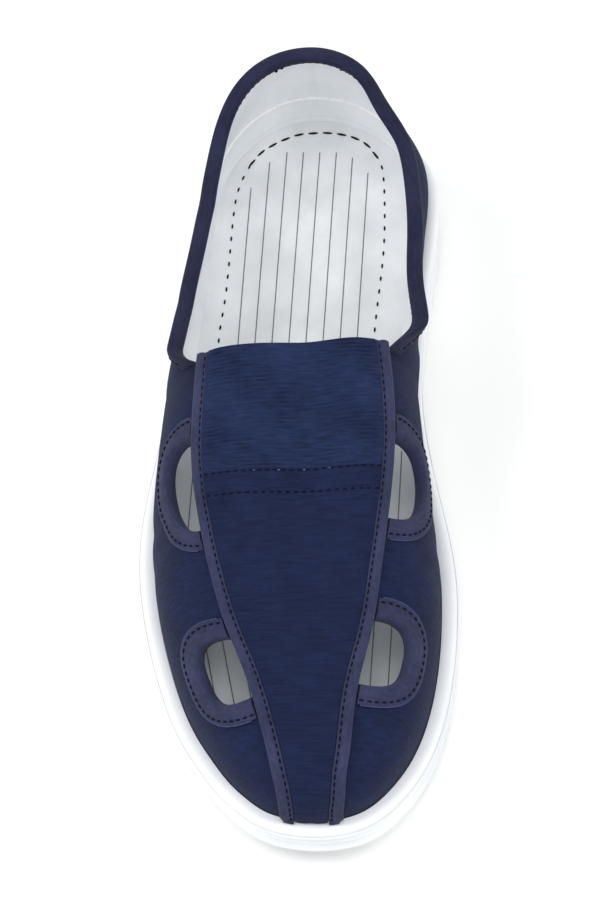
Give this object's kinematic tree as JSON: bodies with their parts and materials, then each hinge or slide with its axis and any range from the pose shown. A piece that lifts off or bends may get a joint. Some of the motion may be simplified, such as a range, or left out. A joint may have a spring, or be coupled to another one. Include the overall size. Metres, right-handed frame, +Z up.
{
  "type": "slip-on shoe",
  "caption": "Low canvas slip-on shoe with an elastic instep panel, side cut-outs over the vamp, an open collar and a white moulded sole.",
  "frame": {"origin": "on the floor, below the middle of the sole's bounding box", "axes": "+Y along the shoe from toe to heel, +Z up from the floor, +X towards the inner side of the foot"},
  "size_m": [0.1019, 0.26, 0.0733],
  "materials": {
    "moulded_white_sole": "satin, smooth moulded white",
    "insole_cloth": "matt light grey knit with thin dark conductive threads",
    "navy_canvas": "matt woven canvas",
    "navy_elastic": "matt ribbed elastic",
    "navy_tape": "matt woven tape"
  },
  "bodies": {
    "root": {"outsole": "moulded_white_sole", "insole": "insole_cloth", "upper": "navy_canvas", "vamp_strip": "navy_canvas", "instep_elastic": "navy_elastic", "strip_binding_lateral": "navy_tape", "strip_binding_medial": "navy_tape", "collar_binding": "navy_tape", "vent_binding_upper_lateral": "navy_tape", "vent_binding_upper_medial": "navy_tape", "vent_binding_lower_lateral": "navy_tape", "vent_binding_lower_medial": "navy_tape"}
  },
  "joints": []
}
